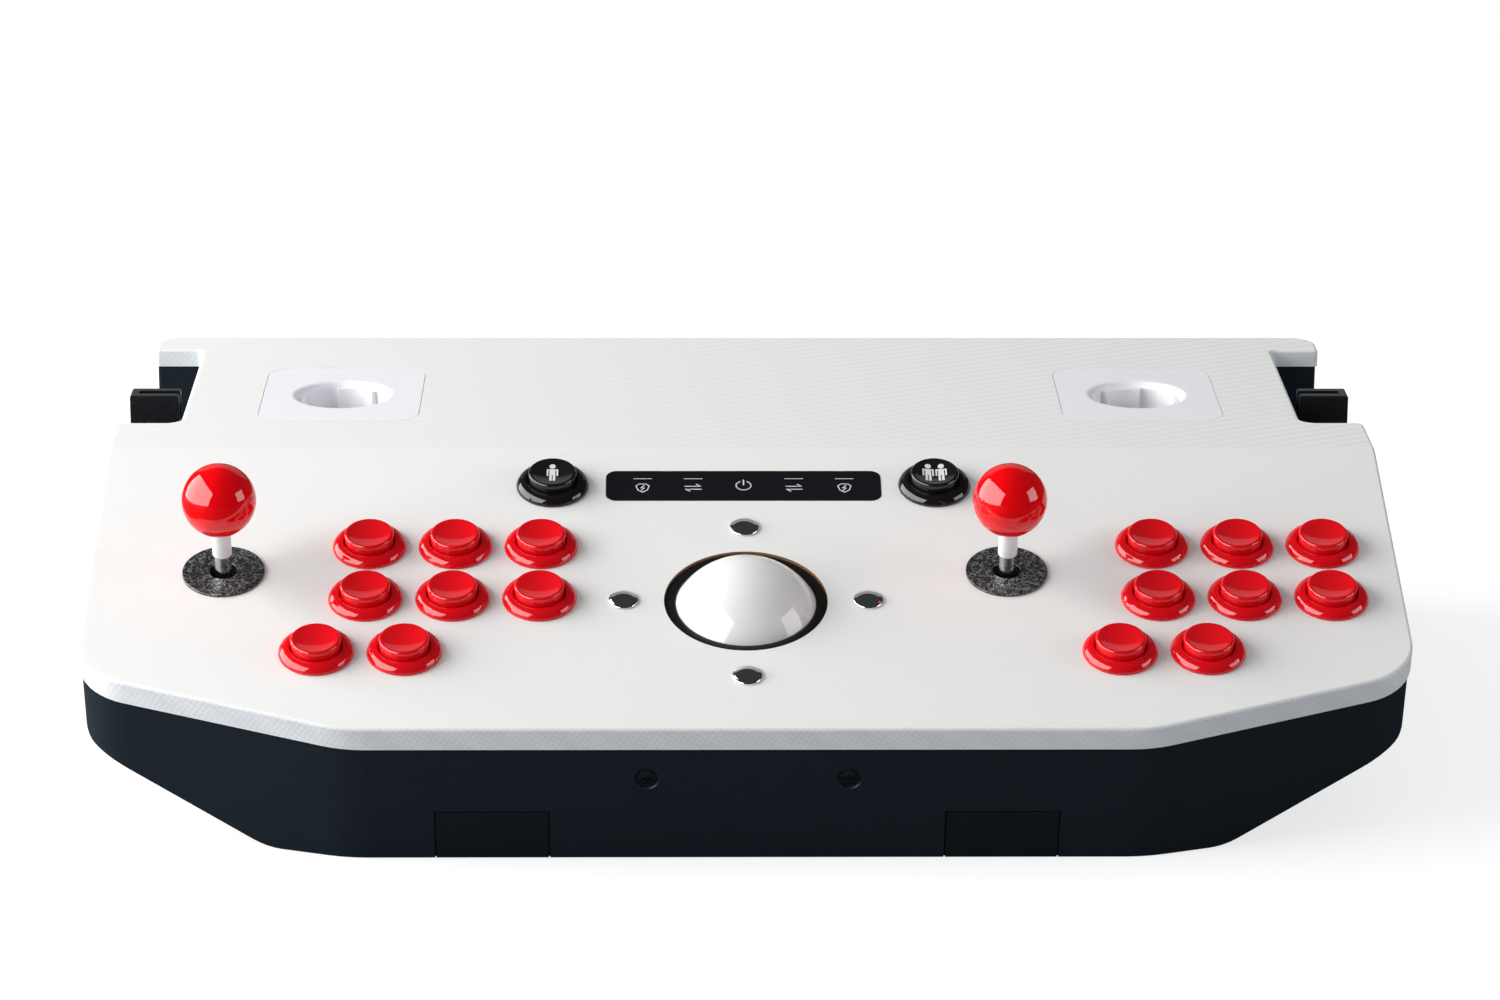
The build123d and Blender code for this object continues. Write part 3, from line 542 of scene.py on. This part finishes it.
def printed(name, quads, place, height, body, thick_mm=0.04):
    """Thin print: quads of (x, y) in millimetres, laid at height(x, y) and given a little thickness."""
    bm = bmesh.new()
    for quad in quads:
        low, high = (
            [bm.verts.new(place @ (Vector((x, y, height(x, y) + lift)) * MM)) for x, y in quad]
            for lift in (0.0, thick_mm)
        )
        bm.faces.new(high)
        bm.faces.new(list(reversed(low)))
        for step in range(4):
            after = (step + 1) % 4
            bm.faces.new([low[step], low[after], high[after], high[step]])
    solid_piece(name, bm, PRINT_WHITE, body)


def subdivide_quads(quads, size):
    """Splits quads into ones of a size or smaller, so that they can follow a curved surface."""
    done = []
    for quad in quads:
        a, b, c, d = (Vector(point) for point in quad)
        columns = max(1, int((b - a).length / size) + 1)
        rows = max(1, int((d - a).length / size) + 1)
        for i in range(columns):
            for j in range(rows):
                corners = []
                for u, v in ((i, j), (i + 1, j), (i + 1, j + 1), (i, j + 1)):
                    u, v = u / columns, v / rows
                    corners.append(tuple((a * (1 - u) + b * u) * (1 - v) + (d * (1 - u) + c * u) * v))
                done.append(corners)
    return done


PRINT_GAP = 0.005  # between a print and the surface under it


def make_pictograms():
    """One figure on the first start button and two on the second."""
    for name, middles in ((START[0], [0.0]), (START[1], [-3.15, 3.15])):
        quads = [quad for middle in middles for quad in person(middle)]
        place = on_deck(*deck_middle(name))

        def height(x, y):
            return dish_height(hypot(x, y)) + PRINT_GAP

        printed(name + "_figure", subdivide_quads(quads, 0.6), place, height, name)


ICON_STEP = 24.5


def icon_shapes():
    """Line icons of the touch strip, each about its own middle: shields, exchange arrows and a power sign."""
    shield = [(-3.2, 1.6), (-1.6, 3.2), (1.6, 3.2), (3.2, 1.6), (2.3, -1.8), (0, -3.7), (-2.3, -1.8)]
    shield.append(shield[0])
    bolt = [(0.7, 2.0), (-0.9, -0.1), (0.8, -0.1), (-0.6, -2.1)]
    badge = stroke(shield, 0.5) + stroke(bolt, 0.5)
    swap = []
    for way in (-1, 1):
        line = [(-3.9 * way, 1.2 * way), (3.3 * way, 1.2 * way)]
        head = [(1.7 * way, 2.8 * way), (3.6 * way, 1.2 * way), (1.7 * way, 1.2 * way)]
        swap += stroke(line, 0.55) + stroke(head, 0.55)
    turn = [radians(120 + 300 * step / 20) for step in range(21)]
    power = stroke([(3.6 * cos(a), 3.6 * sin(a)) for a in turn], 0.65) + stroke([(0, 0.6), (0, 4.4)], 0.65)
    row = (badge, swap, power, swap, badge)
    return [(ICON_STEP * number, shape) for number, shape in enumerate(row, start=-2)]


def make_icons():
    """Icons on the touch strip, under a dash where a label would be."""
    low, high = deck_box("touch_strip")
    place = on_deck(0, (low[1] + high[1]) / 2)
    quads = []
    for x, shape in icon_shapes():
        rise = -1.9 if x else 0.0  # the icons beside the power sign sit lower, under their dashes
        quads += [[(px + x, py + rise) for px, py in quad] for quad in shape]
        if x:
            quads += box_shape(x, 5.6, 9.0, 0.4)
    printed("strip_icons", quads, place, lambda x, y: high[2] + PRINT_GAP, "panel")


# ---- joysticks ------------------------------------------------------------------------------------------
BALL_R, BALL_HEIGHT, BALL_FLAT_R = 17.5, 42.4, 9.2
SHAFT_R, SHAFT_END, SHAFT_TOP = 4.0, -48.0, 37.5
CLIP_R, CLIP_LOW, CLIP_HIGH = 3.4, -47.2, -46.4
SLEEVE_R, SLEEVE_LOW, SLEEVE_HIGH = 4.6, 11.3, 28.0
WASHER_R, WASHER_BORE_R, WASHER_THICK = 19.45, 6.5, 1.2


def make_sticks():
    """Ball, sleeve and shaft of each stick, which lean together, and its fixed washer."""
    base_angle, steps = -acos(BALL_FLAT_R / BALL_R), 40
    flat = BALL_HEIGHT + BALL_R * sin(base_angle)
    ball = [(0.0, flat + 0.5), (BALL_FLAT_R - 0.8, flat + 0.5), (BALL_FLAT_R - 0.2, flat - 0.05)]
    for step in range(steps + 1):
        angle = base_angle + (pi / 2 - base_angle) * step / steps
        ball.append((BALL_R * cos(angle) if step < steps else 0.0, BALL_HEIGHT + BALL_R * sin(angle)))
    inside = SHAFT_R + 0.06
    sleeve = [(inside, SLEEVE_LOW, 0), (SLEEVE_R, SLEEVE_LOW, 0.25)]
    sleeve += [(SLEEVE_R, SLEEVE_HIGH, 0), (inside, SLEEVE_HIGH, 0)]
    shaft = [(0, SHAFT_END, 0), (SHAFT_R, SHAFT_END, 0.6), (SHAFT_R, CLIP_LOW, 0), (CLIP_R, CLIP_LOW, 0)]
    shaft += [(CLIP_R, CLIP_HIGH, 0), (SHAFT_R, CLIP_HIGH, 0), (SHAFT_R, SHAFT_TOP, 0), (0, SHAFT_TOP, 0)]
    washer = [(WASHER_BORE_R, 0, 0), (WASHER_BORE_R, WASHER_THICK, 0.3)]
    washer += [(WASHER_R, WASHER_THICK, 0.35), (WASHER_R, 0, 0)]
    washers = []
    for side in ("left", "right"):
        place = on_deck(*deck_middle(f"joystick_ball_{side}"))
        body = f"stick_{side}"
        washers.append(place)
        for part, profile in (("ball", ball), ("sleeve", rounded(sleeve)), ("shaft", rounded(shaft))):
            node = f"joystick_{part}_{side}"
            slot = SLOT_OF[node]
            finish = SHAFT_STEEL if part == "shaft" else FINISHES[slot]
            lathe(f"stick_{part}_{side}", profile, [place], finish, body, [node])
    grained, slot = FINISHES["washer_black"], "washer_black"
    lathe("grained_washers", rounded(washer), washers, grained, "panel", ["dust_washers"])


# ---- trackball ------------------------------------------------------------------------------------------
BALL_3IN_R, BALL_GAP = 38.1, 0.4
COLLAR_R, COLLAR_TOP, COLLAR_END = 38.1, -1.0, -12.0
FLANGE_R, FLANGE_TOP = 44.0, -7.0
BOLT_HEAD_R, BOLT_EDGE, BOLT_TOP, BOLT_R, BOLT_END, BOLT_CIRCLE_R = 7.1, 0.9, 3.2, 3.0, -30.0, 57.7


def make_trackball():
    """Ball and collar."""
    steps = 96
    profile = []
    for step in range(steps + 1):
        angle = -pi / 2 + pi * step / steps
        profile.append((BALL_3IN_R * cos(angle) if 0 < step < steps else 0.0, BALL_3IN_R * sin(angle)))
    white, black = FINISHES["trackball_white"], FINISHES["collar_black"]
    place = on_deck(0, 0, -BALL_SINK_MM)
    lathe("polished_trackball", profile, [place], white, "ball", ["trackball"], 160)

    def bore(height):
        """Radius at a height that keeps the same gap all round the ball."""
        return ((BALL_3IN_R + BALL_GAP) ** 2 - (height + BALL_SINK_MM) ** 2) ** 0.5

    collar = [(bore(z), z) for z in (COLLAR_END, -10.5, -9.0, -7.5, -6.0, -4.5, -3.0, -1.7)]
    collar += arc(collar[-1], (bore(-1.2) + 0.15, -1.2), (bore(COLLAR_TOP) + 0.6, COLLAR_TOP), 4)
    collar.append((COLLAR_R - 0.5, COLLAR_TOP))
    collar += arc(collar[-1], (COLLAR_R - 0.15, COLLAR_TOP - 0.15), (COLLAR_R, COLLAR_TOP - 0.5), 4)
    collar += [(COLLAR_R, FLANGE_TOP), (FLANGE_R, FLANGE_TOP), (FLANGE_R, COLLAR_END)]
    place = on_deck(0, 0)
    lathe("turned_collar", collar, [place], black, "panel", ["trackball_collar"], 160)


def make_bolts():
    """Four dome-headed bolts round the trackball."""
    reach, rim = BOLT_HEAD_R - 0.45, BOLT_EDGE + 0.2
    bolt = [(BOLT_HEAD_R - 0.12, 0.0), (BOLT_HEAD_R, 0.12), (BOLT_HEAD_R, BOLT_EDGE - 0.3)]
    bolt += arc(bolt[-1], (BOLT_HEAD_R - 0.12, BOLT_EDGE - 0.02), (reach, rim), 5)
    drop = BOLT_TOP - rim
    sphere_r = (reach**2 + drop**2) / (2 * drop)
    full, steps = acos((sphere_r - drop) / sphere_r), 14
    for step in range(1, steps + 1):
        turn = full * (1 - step / steps)
        height = BOLT_TOP - sphere_r + sphere_r * cos(turn)
        bolt.append((sphere_r * sin(turn) if step < steps else 0.0, height))
    bolt += [(0.0, BOLT_END), (BOLT_R, BOLT_END), (BOLT_R, 0.0)]
    turns = (0, pi / 2, pi, 3 * pi / 2)
    places = [on_deck(BOLT_CIRCLE_R * cos(a), BOLT_CIRCLE_R * sin(a)) for a in turns]
    lathe("domed_bolts", bolt, places, FINISHES["chrome"], "panel", ["trackball_bolts"])


# ---- stage ----------------------------------------------------------------------------------------------
FLOOR_GAP = 0.0004  # just under the feet, so that no two surfaces lie in one plane


def soft_box(name, place, aim, size, radiance, colour=(1, 1, 1), shine=True, shade=True):
    """Rectangular soft light at a place, turned to a point, with the brightness of its face. It can be left
    out of the reflections (shine) or of the diffuse light (shade)."""
    light = bpy.data.lights.new(name, "AREA")
    light.shape = "RECTANGLE"
    light.size, light.size_y = size
    light.energy = radiance * pi * size[0] * size[1]
    light.color = colour
    holder = bpy.data.objects.new(name, light)
    holder.location = place
    holder.rotation_euler = (Vector(aim) - Vector(place)).to_track_quat("-Z", "Y").to_euler()
    holder.visible_glossy = shine
    holder.visible_diffuse = shade
    bpy.context.scene.collection.objects.link(holder)


def make_floor():
    """Wide pale floor, which reflects as dark and looks white to the camera."""
    bm = bmesh.new()
    bmesh.ops.create_grid(bm, x_segments=8, y_segments=8, size=12.0)
    mesh = bpy.data.meshes.new("floor")
    bm.to_mesh(mesh)
    bm.free()
    floor = bpy.data.objects.new("floor", mesh)
    floor.location.z = -FLOOR_GAP
    bpy.context.scene.collection.objects.link(floor)
    m = Nodes("pale_floor")
    m.set(Roughness=0.9, Specular_IOR_Level=0.1, Emission_Color=(1, 1, 1, 1))
    pale = m.mix(m.noise(3.0), (0.44, 0.45, 0.46, 1), (0.46, 0.47, 0.48, 1))
    ray = m.node("LightPath").outputs
    m.link(m.mix(ray["Is Glossy Ray"], pale, (0.06, 0.06, 0.06, 1)), "Base Color")
    m.link(m.math("MULTIPLY", ray["Is Camera Ray"], 0.72), "Emission Strength")
    mesh.materials.append(m.material)


def make_light():
    """Large soft box on the left, a small one on the right, and pale surroundings that reflect as dark."""
    world = bpy.data.worlds.new("studio")
    world.use_nodes = True
    tree = world.node_tree
    ray = tree.nodes.new("ShaderNodeLightPath")
    around = tree.nodes.new("ShaderNodeMapRange")
    tree.links.new(ray.outputs["Is Glossy Ray"], around.inputs["Value"])
    around.inputs["To Min"].default_value = 0.35
    around.inputs["To Max"].default_value = 0.05
    white = tree.nodes.new("ShaderNodeMath")
    white.operation = "MAXIMUM"
    tree.links.new(around.outputs[0], white.inputs[0])
    tree.links.new(ray.outputs["Is Camera Ray"], white.inputs[1])
    background = tree.nodes["Background"].inputs
    tree.links.new(white.outputs[0], background["Strength"])
    background["Color"].default_value = (0.96, 0.985, 1.0, 1.0)
    bpy.context.scene.world = world
    middle, warm = (0, 0, 0.15), (1.0, 0.995, 0.975)
    soft_box("key", (-2.15, -0.1, 1.0), middle, (2.9, 1.8), 7.2, warm, shine=False)
    soft_box("key_shine", (-1.95, -0.5, 1.0), middle, (4.7, 2.2), 6.8, shade=False)
    soft_box("window", (1.95, -0.55, 0.75), middle, (0.8, 0.7), 4.0, shine=False)
    soft_box("window_shine", (1.8, -0.5, 0.7), middle, (1.05, 0.95), 4.2, shade=False)
    soft_box("back_shine", (0.0, 3.0, 1.7), middle, (4.0, 2.0), 0.35, shade=False)


def make_camera():
    """Long lens, 36 degrees above the control surface, at a spot in that surface's frame."""
    pitch, yaw, roll = radians(36.07), radians(1.134), radians(0.653)
    spot = Vector((1.4, -1887.2, 1433.2)) * MM
    right, down = Vector((1, 0, 0)), Vector((0, -sin(pitch), -cos(pitch)))
    image_right = right * cos(roll) - down * sin(roll)
    image_down = right * sin(roll) + down * cos(roll)
    back = image_right.cross(-image_down)
    turn = Matrix((image_right, -image_down, back)).transposed().to_4x4()
    data = bpy.data.cameras.new("camera")
    data.sensor_width = 36.0
    data.lens = 120.73
    data.clip_end = 50.0  # beyond the far edge of the floor
    camera = bpy.data.objects.new("camera", data)
    camera.matrix_world = DECK @ Matrix.Rotation(-yaw, 4, "Z") @ Matrix.Translation(spot) @ turn
    bpy.context.scene.collection.objects.link(camera)
    bpy.context.scene.camera = camera


make_camera()
make_floor()
make_light()
make_buttons()
make_springs()
make_pictograms()
make_icons()
make_sticks()
make_trackball()
make_bolts()
bpy.context.scene.view_settings.view_transform = "Standard"
